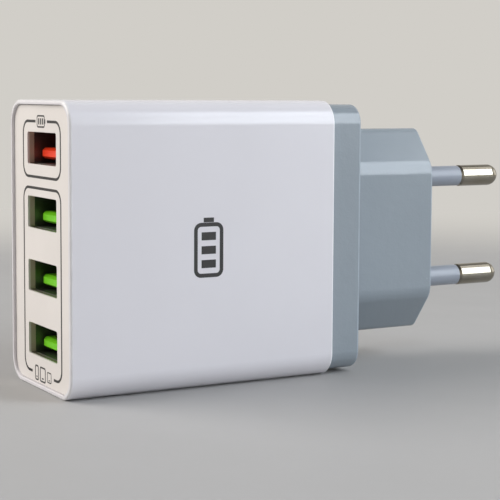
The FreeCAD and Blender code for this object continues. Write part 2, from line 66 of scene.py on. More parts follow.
# Steps in each arc of an outline, a section and a printed line, and the flat run kept beside each arc
OUTLINE_STEPS, PROFILE_STEPS, PRINT_STEPS = 14, 6, 8
HOLD = 0.04 * MM
BEARING_DIGITS = 6
SHARP_ANGLE = math.radians(40)
NO_TRIANGLES = np.zeros((0, 3), dtype=int)

# Edge wear and painted highlight: the field that marks edges, how much of it shows, and the weight of each
# corner of a section
EDGE_FIELD = "edge_band"
EDGE_AMOUNT = 0.8
SLEEVE_WEAR_HIGHLIGHT = (1, 1, 0.4, 0, 0, 0, 0, 0.5)
FLANGE_WEAR_HIGHLIGHT = (0, 0, 0, 0, 0.7, 1)
BOSS_WEAR_HIGHLIGHT = (0, 1)

# Shades: where soft noise mostly lies, and the depth and upward slope at which painted shade darkens the port
# openings
NOISE_LOW, NOISE_HIGH = 0.3, 0.7
RECESS_SHADE_START, RECESS_SHADE_FULL = 0.25 * MM, 0.45 * MM
LEDGE_SHADE_START, LEDGE_SHADE_FULL = 0.3, 0.9
PLASTIC_IOR = 1.5

# Device signs: place, width and height, as shares of the tallest
DEVICES = ((-1.2, 0.56, 1.0), (-0.06, 0.96, 1.0), (1.18, 0.7, 0.7))

# Stage: floor in metres, and the heights between which the sky changes colour
FLOOR_RADIUS, FLOOR_RINGS, FLOOR_SPOKES = 4.0, 24, 96
FLOOR_NEAR, FLOOR_FAR = 0.16, 0.36
SKY_TINT = (1.0, 0.99, 0.98, 1.0)
SKY_PALE, SKY_DIM = 0.45, 0.85

# Camera, as fitted to the photo: place in metres, turns, lens in millimetres and shifts of the frame
CAMERA_PLACE = Vector((-0.132878, -0.219200, 0.048624))
YAW, PITCH, ROLL = math.radians(-29.148), math.radians(5.001), math.radians(0.233)
LENS, SENSOR_WIDTH, NEAR_CLIP = 103.49, 36.0, 0.01
SHIFT_ACROSS, SHIFT_UP = 0.0308, -0.06

# Lamps: place, width and height in metres, offset and height of the window's panes, tints and directions
ABOVE_PLACE, ABOVE_SIZE = Vector((0.585, -0.10, 0.63)), (0.15, 0.54)
PANEL_PLACE, PANEL_SIZE = Vector((-0.55, 0.34, 0.47)), (0.6, 0.6)
WINDOW_PLACE, WINDOW_WIDTH = Vector((0.289, -0.335, 0.262)), 0.24
PANES = {"low": (-0.145, 0.17), "high": (0.085, 0.29)}
SIDE_PLACE, SIDE_SIZE = Vector((0.72, -0.10, 0.20)), (0.4, 0.4)
WHITE, WARM, COOL = (1.0, 1.0, 1.0), (1.0, 0.97, 0.94), (0.85, 0.92, 1.0)
UPRIGHT, LEANING, LEVEL = Vector((0, 0, 1)), Vector((0, 0.54, 0.84)), Vector((0, 1, 0))


# Settings
def tone(red, green, blue):
    """Linear colour of an 8-bit screen colour, by the standard two-part screen curve."""
    screen = np.array([red, green, blue]) / 255
    linear = np.where(screen <= 0.04045, screen / 12.92, ((screen + 0.055) / 1.055) ** 2.4)
    return (*linear.tolist(), 1.0)


def length(name, description, millimetres):
    """Property for one length, given in millimetres and kept in metres."""
    size = millimetres * MM
    return FloatProperty(
        name=name, description=description, default=size, precision=5, unit="LENGTH", subtype="DISTANCE"
    )


def colour(name, description, red, green, blue):
    """Property for one colour, given as a screen colour."""
    paint = tone(red, green, blue)
    return FloatVectorProperty(
        name=name, description=description, default=paint, size=4, min=0, max=1, subtype="COLOR"
    )


def watts(name, description, power):
    """Property for one lamp's power."""
    return FloatProperty(name=name, description=description, default=power, min=0, unit="POWER")


class SleeveSizes(bpy.types.PropertyGroup):
    """Sizes of the white tube."""
    corner_round: length("Corner round", "Radius of the four long corners", 4.0)
    wall: length("Wall", "Thickness of the tube", 2.0)
    rim_width: length("Rim width", "Width of the rim round the port panel", 0.75)
    rim_round: length("Rim round", "Radius of the rim's outer edge", 0.42)
    rear_round: length("Rear round", "Radius of the outer edge at the grey cap", 0.3)
    inner_round: length("Inner round", "Radius of the edges inside", 0.1)
    seat_depth: length("Seat depth", "Depth of the seat of the port panel", 1.7)
    rebate_wall: length("Rebate wall", "Wall left outside the welding rebate", 1.04)
    rebate_depth: length("Rebate depth", "Depth of the welding rebate", 1.8)


class CapSizes(bpy.types.PropertyGroup):
    """Sizes of the grey cap."""
    flange_inset: length("Flange inset", "Step from the tube in to the flange", 0.65)
    flange_depth: length("Flange depth", "Depth of the flange behind the tube", 5.9)
    flange_wall: length("Flange wall", "Thickness of the flange", 2.0)
    flange_round: length("Flange round", "Radius of the flange's rear edge", 0.45)
    lip_inset: length("Lip inset", "Step from the tube's outside in to the welding lip", 1.1)
    joint_round: length("Joint round", "Radius of the small edges at the weld", 0.1)
    boss_thickness: length("Boss thickness", "Distance between the boss's flat sides", 12.4)
    boss_side_half: length("Boss side", "Half the height of a flat side between sharp corners", 11.7)
    boss_ridge_half: length("Boss ridge", "Half the distance between the sharp ridges", 20.0)
    boss_side_round: length("Boss side round", "Radius between a flat side and a slope", 4.5)
    boss_ridge_round: length("Boss ridge round", "Radius along a ridge", 2.0)
    boss_root_round: length("Boss root round", "Radius where the boss grows out of the flange", 0.3)
    boss_face_round: length("Boss face round", "Radius round the boss's end face", 0.4)
    boss_wall: length("Boss wall", "Thickness of the boss", 1.9)
    boss_end_wall: length("Boss end wall", "Thickness of the wall that holds the pins", 5.4)


class PrintSizes(bpy.types.PropertyGroup):
    """Sizes of the printed lines and signs."""
    line_width: length("Line width", "Width of the lines round the ports", 0.44)
    ink_height: length("Ink height", "Thickness of the ink", 0.012)
    frame_width: length("Frame width", "Width of the frames round the ports", 16.18)
    frame_round: length("Frame round", "Corner radius of the frames", 2.0)
    single_low: length("Single frame foot", "Height of the lower line round the top port", 34.99)
    single_high: length("Single frame head", "Height of the upper line round the top port", 44.10)
    row_low: length("Row frame foot", "Height of the lower line round the other ports", 2.42)
    row_high: length("Row frame head", "Height of the upper line round the other ports", 33.15)
    single_break: length("Upper break", "Gap in the upper line for the battery sign", 5.0)
    row_break: length("Lower break", "Gap in the lower line for the device signs", 9.4)
    battery_length: length("Battery sign", "Length of the battery sign over the top port", 3.6)
    device_height: length("Device signs", "Height of the signs under the lowest port", 2.3)
    side_sign: length("Side sign", "Height of the battery sign on the wide side", 9.5)


class Finishes(bpy.types.PropertyGroup):
    """Colours of the finishes that show."""
    housing: colour("Housing", "White of the tube", 229, 226, 230)
    housing_shade: colour("Housing shade", "Cloudier white of the tube", 226, 223, 227)
    # Lighter edges of the tube: rubbed wear and partly painted highlight
    housing_edge_wear_highlight: colour("Housing edge", "Thin edges of the tube", 244, 242, 243)
    panel: colour("Panel", "Warm white of the port panel", 237, 231, 226)
    panel_shade: colour("Panel shade", "Cloudier white of the port panel", 233, 227, 222)
    # Painted shade in the port openings: darker walls, and darker still where they face up
    recess_painted_shade: colour("Recess", "Unpolished walls of the port openings", 190, 174, 155)
    ledge_painted_shade: colour("Ledge", "Dusty lower walls of the port openings", 98, 95, 78)
    cap: colour("Cap", "Grey of the cap", 147, 156, 163)
    cap_shade: colour("Cap shade", "Cloudier grey of the cap", 144, 153, 160)
    # Lighter cap edges, also the specks' colour: rubbed wear, dirt and partly painted highlight
    cap_speck_wear_highlight: colour("Cap edge", "Rubbed edges of the cap", 162, 172, 182)
    collar: colour("Collar", "Grey of the pin collars", 152, 158, 168)
    red_tongue: colour("Top tongue", "Insulator of the top port", 255, 68, 24)
    green_tongue: colour("Lower tongues", "Insulators of the other ports", 128, 226, 32)
    ink: colour("Ink", "Printed lines", 38, 36, 35)
    dirt: colour("Dirt", "Specks on the white plastic", 184, 180, 178)
    nickel: colour("Nickel", "Plating of the pins", 152, 147, 136)
    floor: colour("Floor", "Floor near the charger", 173, 172, 171)
    backdrop: colour("Backdrop", "Far floor and the sky near the horizon", 209, 206, 200)
    ceiling: colour("Ceiling", "Sky overhead", 118, 117, 116)


class StageSettings(bpy.types.PropertyGroup):
    """Strength of the lamps and the sky."""
    above_power: watts("Power above", "Power of the long lamp above", 0.34)
    panel_power: watts("Panel power", "Power of the lamp that lights the port panel", 5.85)
    window_low_power: watts("Lower pane power", "Power of the lower pane of the window", 0.84)
    window_high_power: watts("Upper pane power", "Power of the upper pane of the window", 1.25)
    side_power: watts("Side power", "Power of the lamp at the pins' end", 0.6)
    sky_strength: FloatProperty(name="Sky", description="Strength of the sky's light", default=0.27, min=0)


class ChargerSettings(bpy.types.PropertyGroup):
    """All that a user would change."""
    sleeve: PointerProperty(name="Sleeve", description="Sizes of the white tube", type=SleeveSizes)
    cap: PointerProperty(name="Cap", description="Sizes of the grey cap", type=CapSizes)
    prints: PointerProperty(name="Print", description="Sizes of the print", type=PrintSizes)
    finish: PointerProperty(name="Finishes", description="Colours of the finishes", type=Finishes)
    stage: PointerProperty(name="Stage", description="Strength of the lights", type=StageSettings)


# Outlines, sections and grids
def unit_rows(rows):
    """Each row divided by its own length."""
    return rows / np.linalg.norm(rows, axis=1, keepdims=True)


def eased(before, corners, after, radii, steps):
    """Corners turned into arcs, as points and outward normals in the plane.

    An arc's centre lies on its corner's bisector, the radius over the sine of half the angle away. The
    normal turns at an even rate from one side's to the next side's, and a point is the centre plus the
    radius along it. One more point a short hold away on either side keeps the sides' shading flat.
    """
    back = unit_rows(before - corners)
    ahead = unit_rows(after - corners)
    half = 0.5 * np.arccos(np.clip(np.sum(back * ahead, axis=1), -1, 1))
    side = np.sign(back[:, 1] * ahead[:, 0] - back[:, 0] * ahead[:, 1])
    centre = corners + unit_rows(back + ahead) * (radii / np.sin(half))[:, None]
    start = np.stack([-back[:, 1], back[:, 0]], axis=1)
    across = np.stack([-start[:, 1], start[:, 0]], axis=1)
    swing = (side * (np.pi - 2 * half))[:, None] * np.linspace(0, 1, steps + 1)
    normals = start[:, None] * np.cos(swing)[..., None] + across[:, None] * np.sin(swing)[..., None]
    arcs = centre[:, None] + (side * radii)[:, None, None] * normals
    entry = arcs[:, :1] + HOLD * back[:, None]
    leave = arcs[:, -1:] + HOLD * ahead[:, None]
    points = np.concatenate([entry, arcs, leave], axis=1)
    normals = np.concatenate([normals[:, :1], normals, normals[:, -1:]], axis=1)
    return points.reshape(-1, 2), normals.reshape(-1, 2)


def closed_outline(corners, radii, steps):
    """Polygon with round corners, as points and outward normals, anticlockwise like its corners."""
    corners = np.array(corners, dtype=float)
    before, after = np.roll(corners, 1, axis=0), np.roll(corners, -1, axis=0)
    return eased(before, corners, after, np.array(radii), steps)


def open_outline(corners, radii, steps):
    """Line with round corners and two free ends, as points and normals to its right."""
    corners = np.array(corners, dtype=float)
    points, normals = eased(corners[:-2], corners[1:-1], corners[2:], np.array(radii), steps)
    points = np.concatenate([corners[:1], points, corners[-1:]])
    normals = np.concatenate([normals[:1], normals, normals[-1:]])
    return points, normals


def rectangle(width, height):
    """Corners of a rectangle about the middle, anticlockwise."""
    return [(0.5 * width * x, 0.5 * height * y) for x, y in ((-1, -1), (1, -1), (1, 1), (-1, 1))]


def housing_outline(corner_round):
    """Outline across the housing: a rectangle about the axis with round corners."""
    corners = rectangle(SLEEVE_HIGH.y - SLEEVE_LOW.y, 2 * (AXIS_HEIGHT - SLEEVE_LOW.z))
    return closed_outline(corners, [corner_round] * 4, OUTLINE_STEPS)


def corner_bands(weights, ends):
    """Weight of each profile row: a corner's own weight on its arc, none on its holds and at free ends."""
    band = np.concatenate([[0.0], np.ones(PROFILE_STEPS + 1), [0.0]])
    rows = (np.array(weights)[:, None] * band).ravel()
    return np.concatenate([np.zeros(ends), rows, np.zeros(ends)])


def grid_faces(rows, columns, wrap_rows, wrap_columns):
    """Quads between neighbouring rows and columns of a grid, joined round where it wraps."""
    here = np.arange(rows * columns).reshape(rows, columns)
    beside = np.roll(here, -1, axis=1)
    quads = np.stack([here, beside, np.roll(beside, -1, axis=0), np.roll(here, -1, axis=0)], axis=-1)
    quads = quads if wrap_rows else quads[:-1]
    quads = quads if wrap_columns else quads[:, :-1]
    return quads.reshape(-1, 4)


def fan_faces(middle, start, columns):
    """Triangles between a middle point and a ring of points, by their numbers."""
    ring = np.arange(columns)
    return np.stack([np.full(columns, middle), start + ring, start + (ring + 1) % columns], axis=1)


def seen_from_axis(outline, bearings):
    """Outline sampled where rays from the middle at the bearings meet its sides.

    A ray meets the side from p along e where its length is p cross e over the ray's direction cross e.
    """
    turns = np.arctan2(outline[:, 1], outline[:, 0])
    order = np.argsort(turns)
    turns, corners = turns[order], outline[order]
    start = (np.searchsorted(turns, bearings, side="right") - 1) % len(turns)
    first = corners[start]
    along = corners[(start + 1) % len(turns)] - first
    ray = np.stack([np.cos(bearings), np.sin(bearings)], axis=1)
    reach = first[:, 0] * along[:, 1] - first[:, 1] * along[:, 0]
    reach = reach / (ray[:, 0] * along[:, 1] - ray[:, 1] * along[:, 0])
    return ray * reach[:, None]


def stacked_rings(profile, outline, normals, bearings=None):
    """One ring for each profile point (along, inset), that far inside the outline along its normals.

    Where bearings are given, each ring is sampled at them.
    """
    rings = outline[None] - profile[:, 1, None, None] * normals[None]
    if bearings is not None:
        rings = np.stack([seen_from_axis(ring, bearings) for ring in rings])
    along = np.broadcast_to(profile[:, 0, None, None], rings.shape[:2] + (1,))
    return np.concatenate([along, rings], axis=2)


def placed(name, data):
    """New object in the scene for a mesh, a lamp or a camera."""
    thing = bpy.data.objects.new(name, data)
    bpy.context.scene.collection.objects.link(thing)
    return thing


def new_piece(name, finish, points, quads, triangles=NO_TRIANGLES, edge=None):
    """Mesh object of the faces, smooth up to a sharp angle, with any edge band as a field on its points."""
    mesh = bpy.data.meshes.new(name)
    mesh.from_pydata(points.tolist(), [], quads.tolist() + triangles.tolist())
    mesh.shade_smooth()
    mesh.set_sharp_from_angle(angle=SHARP_ANGLE)
    if edge is not None:
        field = mesh.attributes.new(EDGE_FIELD, "FLOAT", "POINT")
        field.data.foreach_set("value", edge)
    if mesh.validate(verbose=True):
        raise RuntimeError(f"{name} has faces that Blender had to mend")
    mesh.materials.append(finish)
    return placed(name, mesh)


# White tube and grey cap
def sleeve_surface(sizes):
    """White tube as points, quads, no triangles and edge band: a section carried round the housing's outline.

    A point of the section is a distance from the rim and an inset. It becomes a ring at that distance, drawn
    its inset inside the outline along the outline's normals.
    """
    tube = SLEEVE_HIGH.x - SLEEVE_LOW.x
    rebate = tube - sizes.rebate_depth
    section = [
        (0, 0),
        (tube, 0),
        (tube, sizes.rebate_wall),
        (rebate, sizes.rebate_wall),
        (rebate, sizes.wall),
        (sizes.seat_depth, sizes.wall),
        (sizes.seat_depth, sizes.rim_width),
        (0, sizes.rim_width),
    ]
    rounds = [sizes.rim_round, sizes.rear_round] + [sizes.inner_round] * 6
    profile, _ = closed_outline(section, rounds, PROFILE_STEPS)
    grid = stacked_rings(profile, *housing_outline(sizes.corner_round))
    rows, columns = grid.shape[:2]
    points = grid.reshape(-1, 3) + (SLEEVE_LOW.x, 0, AXIS_HEIGHT)
    edge = np.repeat(corner_bands(SLEEVE_WEAR_HIGHLIGHT, 0), columns)
    return points, grid_faces(rows, columns, True, True), NO_TRIANGLES, edge


def boss_outline(sizes):
    """Outline of the plug boss: two flat sides and four slopes, all corners round."""
    half, side, ridge = 0.5 * sizes.boss_thickness, sizes.boss_side_half, sizes.boss_ridge_half
    corners = [(half, -side), (half, side), (0, ridge), (-half, side), (-half, -side), (0, -ridge)]
    rounds = [sizes.boss_side_round, sizes.boss_side_round, sizes.boss_ridge_round] * 2
    return closed_outline(corners, rounds, OUTLINE_STEPS)


def cap_surface(sizes, corner_round):
    """Grey cap as points, quads, closing triangles and edge band.

    Rings run from the middle of the boss's inside, round the welding lip, to the middle of its end face. The
    flange's section is carried round the housing's outline and the boss's round the six-sided outline. All
    are sampled at the same bearings from the axis, so that they join in one grid. A point at each middle
    closes it.
    """
    seam = SLEEVE_HIGH.x
    root = seam + sizes.flange_depth
    floor = root - sizes.flange_wall
    pocket = CAP_HIGH.x - sizes.boss_end_wall
    reach = 2 * sizes.flange_round
    flange_section = [
        (floor, sizes.flange_wall + reach),
        (floor, sizes.flange_wall),
        (CAP_LOW.x, sizes.flange_wall),
        (CAP_LOW.x, sizes.lip_inset),
        (seam, sizes.lip_inset),
        (seam, sizes.flange_inset),
        (root, sizes.flange_inset),
        (root, sizes.flange_inset + reach),
    ]
    flange_rounds = [sizes.joint_round] * 5 + [sizes.flange_round]
    boss_section = [(root, -reach), (root, 0), (CAP_HIGH.x, 0), (CAP_HIGH.x, reach)]
    boss_rounds = [sizes.boss_root_round, sizes.boss_face_round]
    pocket_profile = np.array([(pocket, sizes.boss_wall), (floor, sizes.boss_wall)])
    flange_profile, _ = open_outline(flange_section, flange_rounds, PROFILE_STEPS)
    boss_profile, _ = open_outline(boss_section, boss_rounds, PROFILE_STEPS)
    housing, housing_normals = housing_outline(corner_round)
    boss, boss_normals = boss_outline(sizes)
    corners = np.concatenate([housing - sizes.flange_inset * housing_normals, boss])
    bearings = np.unique(np.round(np.arctan2(corners[:, 1], corners[:, 0]), BEARING_DIGITS))
    grid = np.concatenate([
        stacked_rings(pocket_profile, boss, boss_normals, bearings),
        stacked_rings(flange_profile, housing, housing_normals, bearings),
        stacked_rings(boss_profile, boss, boss_normals, bearings),
    ])
    rows, columns = grid.shape[:2]
    middles = np.array([(pocket, 0, 0), (CAP_HIGH.x, 0, 0)])
    points = np.concatenate([grid.reshape(-1, 3), middles]) + (0, 0, AXIS_HEIGHT)
    inner = fan_faces(rows * columns, 0, columns)[:, ::-1]
    outer = fan_faces(rows * columns + 1, (rows - 1) * columns, columns)
    bands = [np.zeros(len(pocket_profile)), corner_bands(FLANGE_WEAR_HIGHLIGHT, 1), corner_bands(BOSS_WEAR_HIGHLIGHT, 1)]
    edge = np.concatenate([np.repeat(np.concatenate(bands), columns), np.zeros(len(middles))])
    return points, grid_faces(rows, columns, False, True), np.concatenate([inner, outer]), edge


# Print
def ribbon(path, normals, width, height, closed):
    """Printed line as (across, up, out) points and quads: a rectangle, sunk half its height, along a path."""
    sides = width * np.array([-0.5, 0.5, 0.5, -0.5])
    lift = height * np.array([-0.5, -0.5, 1.0, 1.0])
    flat = path[None] + sides[:, None, None] * normals[None]
    out = np.broadcast_to(lift[:, None, None], flat.shape[:2] + (1,))
    points = np.concatenate([flat, out], axis=2)
    count = len(path)
    quads = grid_faces(4, count, True, closed)
    if not closed:
        start = np.arange(4) * count
        quads = np.concatenate([quads, start[None], start[None, ::-1] + count - 1])
    return points.reshape(-1, 3), quads


def ring_line(centre, size, corner, width, height):
    """Printed line round a rectangle with round corners."""
    path, normals = closed_outline(rectangle(*size), [corner] * 4, PRINT_STEPS)
    return ribbon(path + np.array(centre), normals, width, height, True)


def bar(centre, size, height):
    """Printed bar: a straight line as wide as the bar."""
    path = np.array(centre) + np.array([(0, -0.5 * size[1]), (0, 0.5 * size[1])])
    normals = np.array([(1.0, 0.0), (1.0, 0.0)])
    return ribbon(path, normals, size[0], height, False)


def battery_sign(centre, size, height):
    """Upright battery: a rounded outline with a cap and three level bars, in proportion to its height."""
    middle = np.array(centre)
    body, body_drop, body_round, line = (0.5 * size, 0.88 * size), 0.06 * size, 0.1 * size, 0.07 * size
    cap, cap_lift = (0.2 * size, 0.08 * size), 0.46 * size
    level, level_lifts = (0.28 * size, 0.14 * size), (-0.3 * size, -0.06 * size, 0.18 * size)
    parts = [ring_line(middle - (0, body_drop), body, body_round, line, height)]
    parts.append(bar(middle + (0, cap_lift), cap, height))
    return parts + [bar(middle + (0, lift), level, height) for lift in level_lifts]


def device_sign(centre, width, size, height):
    """Upright device: a rounded outline with a short bar near its foot, in proportion to its height."""
    middle = np.array(centre)
    line, corner = 0.12 * size, 0.12 * size
    key, key_drop = (0.36 * width, 0.1 * size), 0.28 * size
    outline = ring_line(middle, (width, size), corner, line, height)
    return [outline, bar(middle - (0, key_drop), key, height)]


def broken_frame(width, gap, broken, whole):
    """Corners of a line round ports with a gap in its side at one of two heights, anticlockwise."""
    half = 0.5 if broken < whole else -0.5
    start = [(half * gap, broken), (half * width, broken), (half * width, whole)]
    return start + [(-across, height) for across, height in reversed(start)]


def joined(parts):
    """Points and quads of several ribbons as one."""
    counts = [len(points) for points, _ in parts]
    starts = np.concatenate([[0], np.cumsum(counts)[:-1]])
    points = np.concatenate([points for points, _ in parts])
    quads = np.concatenate([quads + start for (_, quads), start in zip(parts, starts)])
    return points, quads


def print_piece(name, parts, origin, right, up, finish):
    """Print put on a face: the origin plus across, up and out along right, up and the face's normal."""
    points, quads = joined(parts)
    basis = np.stack([right, up, np.cross(right, up)])
    piece = new_piece(name, finish, np.array(origin) + points @ basis, quads)
    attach(piece, BODY)


# Shader nodes
def fill(tree, node, sockets):
    """A node's inputs given as values or linked from other outputs."""
    for socket, value in sockets.items():
        if isinstance(value, bpy.types.NodeSocket):
            tree.links.new(value, node.inputs[socket])
        else:
            node.inputs[socket].default_value = value


def put(tree, kind, sockets, **fields):
    """New node with its fields set and its inputs filled."""
    node = tree.nodes.new(kind)
    for field, value in fields.items():
        setattr(node, field, value)
    fill(tree, node, sockets)
    return node


def blended(tree, share, first, second):
    """Colour between two, by a share of 0 to 1."""
    node = put(tree, "ShaderNodeMix", {0: share, 6: first, 7: second}, data_type="RGBA")
    return node.outputs[2]


def spread(tree, value, low, high, new_low=0.0, new_high=1.0, kind="LINEAR"):
    """Value carried from one range to another and held inside it."""
    sockets = {"Value": value, "From Min": low, "From Max": high, "To Min": new_low, "To Max": new_high}
    return put(tree, "ShaderNodeMapRange", sockets, interpolation_type=kind).outputs["Result"]


def noise_spread(tree, field, low, high):
    """Soft noise carried from where it mostly lies to another range."""
    return spread(tree, field, NOISE_LOW, NOISE_HIGH, low, high)


def combined(tree, operation, first, second):
    """Two values put together by a math node."""
    return put(tree, "ShaderNodeMath", {0: first, 1: second}, operation=operation).outputs[0]


def noise(tree, vector, scale, detail):
    """Soft noise from 0 to 1."""
    sockets = {"Vector": vector, "Scale": scale, "Detail": detail}
    return put(tree, "ShaderNodeTexNoise", sockets).outputs["Fac"]


def raised(tree, height, strength, distance, under=None):
    """Normal bent by a height field, over another bent normal where one is given."""
    sockets = {"Height": height, "Strength": strength, "Distance": distance}
    if under is not None:
        sockets["Normal"] = under
    return put(tree, "ShaderNodeBump", sockets).outputs[0]


def seen_rays(tree):
    """One for rays of the camera, of reflections and through clear material, nought for rays of light."""
    path = tree.nodes.new("ShaderNodeLightPath").outputs
    seen = combined(tree, "MAXIMUM", path["Is Camera Ray"], path["Is Glossy Ray"])
    return combined(tree, "MAXIMUM", seen, path["Is Transmission Ray"])


def new_group(name, values, outputs):
    """Tree, inputs and output node of a group that takes a Vector and named values and gives named values."""
    tree = bpy.data.node_groups.new(name, "ShaderNodeTree")
    tree.interface.new_socket(name="Vector", in_out="INPUT", socket_type="NodeSocketVector")
    for socket, value in values.items():
        made = tree.interface.new_socket(name=socket, in_out="INPUT", socket_type="NodeSocketFloat")
        made.default_value = value
    for socket in outputs:
        tree.interface.new_socket(name=socket, in_out="OUTPUT", socket_type="NodeSocketFloat")
    source = tree.nodes.new("NodeGroupInput")
    return tree, source.outputs, tree.nodes.new("NodeGroupOutput")


def use_group(tree, build, sockets):
    """Outputs of a shared group, which its first use builds, placed with its own values."""
    name = build.__name__
    group = bpy.data.node_groups.get(name) or build(name)
    return put(tree, "ShaderNodeGroup", sockets, node_tree=group).outputs


def moulding_marks(name):
    """Group of moulded plastic's marks: soft clouds, fine grain, shallow waves and a few specks of dirt."""
    scales = {"Cloud Scale": 60.0, "Grain Scale": 2500.0, "Wave Scale": 150.0, "Speck Scale": 500.0}
    results = ["Cloud", "Grain", "Waves", "Specks"]
    tree, given, out = new_group(name, {**scales, "Speck Share": 0.01}, results)
    vector = given["Vector"]
    core, rim = 0.04, 0.12
    cells = put(tree, "ShaderNodeTexVoronoi", {"Vector": vector, "Scale": given["Speck Scale"]}).outputs
    dot = spread(tree, cells["Distance"], core, rim, 1.0, 0.0)
    draw = put(tree, "ShaderNodeSeparateColor", {"Color": cells["Color"]}).outputs[0]
    chosen = combined(tree, "LESS_THAN", draw, given["Speck Share"])
    cloud = noise(tree, vector, given["Cloud Scale"], detail=3.0)
    fill(tree, out, {
        "Cloud": noise_spread(tree, cloud, 0.0, 1.0),
        "Grain": noise(tree, vector, given["Grain Scale"], detail=2.0),
        "Waves": noise(tree, vector, given["Wave Scale"], detail=1.0),
        "Specks": combined(tree, "MULTIPLY", dot, chosen),
    })
    return tree


def rubbed_highlit_edges(name):
    """Group of rubbed edges, lighter partly as painted highlight: the edge band broken up by noise."""
    tree, given, out = new_group(name, {"Edge": 0.0, "Scale": 300.0, "Amount": 1.0}, ["Wear_Highlight"])
    thin, full, least = 0.3, 0.6, 0.25
    patches = spread(tree, noise(tree, given["Vector"], given["Scale"], detail=4.0), thin, full, least, 1.0)
    band = combined(tree, "MULTIPLY", patches, given["Edge"])
    fill(tree, out, {"Wear_Highlight": combined(tree, "MULTIPLY", band, given["Amount"])})
    return tree


def drawn_lines(name):
    """Group of fine lines along X, as drawing, rolling and winding leave them on metal."""
    tree, given, out = new_group(name, {"Scale": 900.0}, ["Lines", "Stains"])
    squeeze, stain_scale = (0.06, 1.0, 1.0), 180.0
    sockets = {0: given["Vector"], 1: squeeze}
    stretched = put(tree, "ShaderNodeVectorMath", sockets, operation="MULTIPLY").outputs[0]
    fill(tree, out, {
        "Lines": noise(tree, stretched, given["Scale"], detail=3.0),
        "Stains": noise(tree, given["Vector"], stain_scale, detail=3.0),
    })
    return tree


# Finishes
def new_finish(name):
    """Empty material with its shader and its Object coordinates."""
    material = bpy.data.materials.new(name)
    material.use_nodes = True
    tree = material.node_tree
    tree.nodes.clear()
    shader = tree.nodes.new("ShaderNodeBsdfPrincipled")
    put(tree, "ShaderNodeOutputMaterial", {"Surface": shader.outputs["BSDF"]})
    coordinates = tree.nodes.new("ShaderNodeTexCoord").outputs["Object"]
    return material, tree, shader, coordinates


def plastic(name, base, shade, dirt, roughness, marks, grain, waves, edge=None, recess_painted_shade=None, ledge_painted_shade=None):
    """Moulded plastic: clouded colour, specks, rubbed edges lightened partly as painted highlight, grain in
    gloss and surface, and shallow waves.

    Grain and waves are heights. Where their colours are given, painted shade darkens what lies deeper than
    the port panel's face, and darkens it more where it faces up.
    """
    material, tree, shader, coordinates = new_finish(name)
    found = use_group(tree, moulding_marks, {"Vector": coordinates, **marks})
    paint = blended(tree, found["Cloud"], base, shade)
    paint = blended(tree, found["Specks"], paint, dirt)
    # Lighter edges along the edge band: rubbed wear and partly painted highlight
    if edge is not None:
        band = put(tree, "ShaderNodeAttribute", {}, attribute_name=EDGE_FIELD).outputs["Fac"]
        wear_highlight = use_group(tree, rubbed_highlit_edges, {"Vector": coordinates, "Edge": band, "Amount": EDGE_AMOUNT})
        paint = blended(tree, wear_highlight["Wear_Highlight"], paint, edge)
    if recess_painted_shade is not None:
        # Painted shade: deeper than the panel's face the colour darkens, and darkens more where it faces up
        depth = put(tree, "ShaderNodeSeparateXYZ", {"Vector": coordinates}).outputs["X"]
        sunk = spread(tree, depth, PANEL_FACE + RECESS_SHADE_START, PANEL_FACE + RECESS_SHADE_FULL)
        facing = put(tree, "ShaderNodeNewGeometry", {}).outputs["Normal"]
        lying_up = put(tree, "ShaderNodeSeparateXYZ", {"Vector": facing}).outputs["Z"]
        walls = blended(tree, spread(tree, lying_up, LEDGE_SHADE_START, LEDGE_SHADE_FULL), recess_painted_shade, ledge_painted_shade)
        paint = blended(tree, sunk, paint, walls)
    fill(tree, shader, {
        "Base Color": paint,
        "Roughness": noise_spread(tree, found["Grain"], 0.95 * roughness, 1.05 * roughness),
        "Normal": raised(tree, found["Waves"], 1.0, waves, raised(tree, found["Grain"], 1.0, grain)),
        "IOR": PLASTIC_IOR,
    })
    return material


def metal(name, base, stain, roughness, lines, bump):
    """Bare or plated metal: stained colour, fine lines in gloss and surface."""
    material, tree, shader, coordinates = new_finish(name)
    found = use_group(tree, drawn_lines, {"Vector": coordinates, "Scale": lines})
    clean, stained = 0.35, 0.7
    fill(tree, shader, {
        "Base Color": blended(tree, spread(tree, found["Stains"], clean, stained), base, stain),
        "Metallic": 1.0,
        "Roughness": noise_spread(tree, found["Lines"], 0.8 * roughness, 1.25 * roughness),
        "Normal": raised(tree, found["Lines"], 1.0, bump),
    })
    return material


def ink_finish(base):
    """Screen-printed ink: dense dark grey, thinner in small patches."""
    material, tree, shader, coordinates = new_finish("printed_ink")
    marks = {"Vector": coordinates, "Cloud Scale": 900.0, "Grain Scale": 6000.0}
    found = use_group(tree, moulding_marks, marks)
    lightening = 1.35
    thin = tuple(min(1.0, lightening * part) for part in base[:3]) + (1.0,)
    fill(tree, shader, {
        "Base Color": blended(tree, found["Cloud"], base, thin),
        "Roughness": noise_spread(tree, found["Grain"], 0.45, 0.6),
    })
    return material


def board_finish():
    """Circuit board: green solder mask over paler tracks laid out as staggered blocks."""
    material, tree, shader, coordinates = new_finish("board_mask")
    found = use_group(tree, moulding_marks, {"Vector": coordinates, "Cloud Scale": 150.0})
    turned = put(tree, "ShaderNodeMapping", {"Vector": coordinates, "Rotation": (math.radians(90), 0, 0)})
    blocks = put(tree, "ShaderNodeTexBrick", {
        "Vector": turned.outputs[0],
        "Scale": 320.0,
        "Mortar Size": 0.06,
        "Color1": tone(18, 92, 46),
        "Color2": tone(14, 80, 42),
        "Mortar": tone(44, 128, 72),
    }).outputs
    cloudy = combined(tree, "MULTIPLY", found["Cloud"], 0.4)
    fill(tree, shader, {
        "Base Color": blended(tree, cloudy, blocks["Color"], tone(12, 66, 34)),
        "Roughness": noise_spread(tree, found["Grain"], 0.3, 0.42),
        "Normal": raised(tree, blocks["Fac"], strength=0.6, distance=0.03 * MM),
    })
    return material


